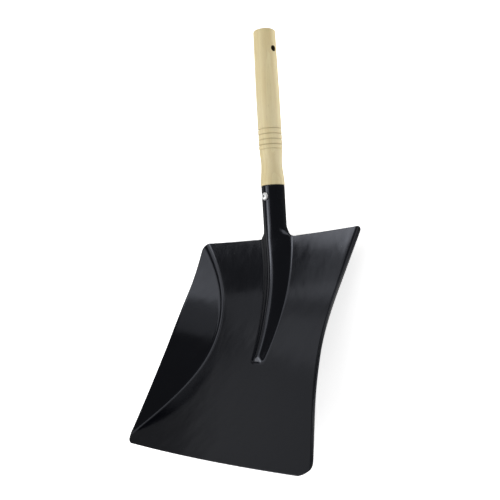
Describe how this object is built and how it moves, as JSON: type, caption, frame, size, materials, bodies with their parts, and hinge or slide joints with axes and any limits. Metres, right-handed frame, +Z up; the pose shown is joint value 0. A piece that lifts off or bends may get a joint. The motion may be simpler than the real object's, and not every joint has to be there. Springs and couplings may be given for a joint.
{
  "type": "hand grain scoop",
  "caption": "Wide pressed-steel hand scoop with folded side walls, a rolled socket and a turned wooden handle held by one screw.",
  "frame": {"origin": "on the bench, under the middle of the scoop's box", "axes": "+X to the right seen from behind the handle's end, +Y from the pan towards the handle, +Z up as the scoop lies at rest"},
  "size_m": [0.2912, 0.5162, 0.1425],
  "materials": {
    "black_enamel": "semi-gloss black paint",
    "pale_wood": "smooth turned pale wood, clear matt lacquer",
    "zinc": "bright zinc plating"
  },
  "bodies": {
    "root": {"pan_with_socket": "black_enamel", "handle": "pale_wood", "socket_screw": "zinc"}
  },
  "joints": []
}
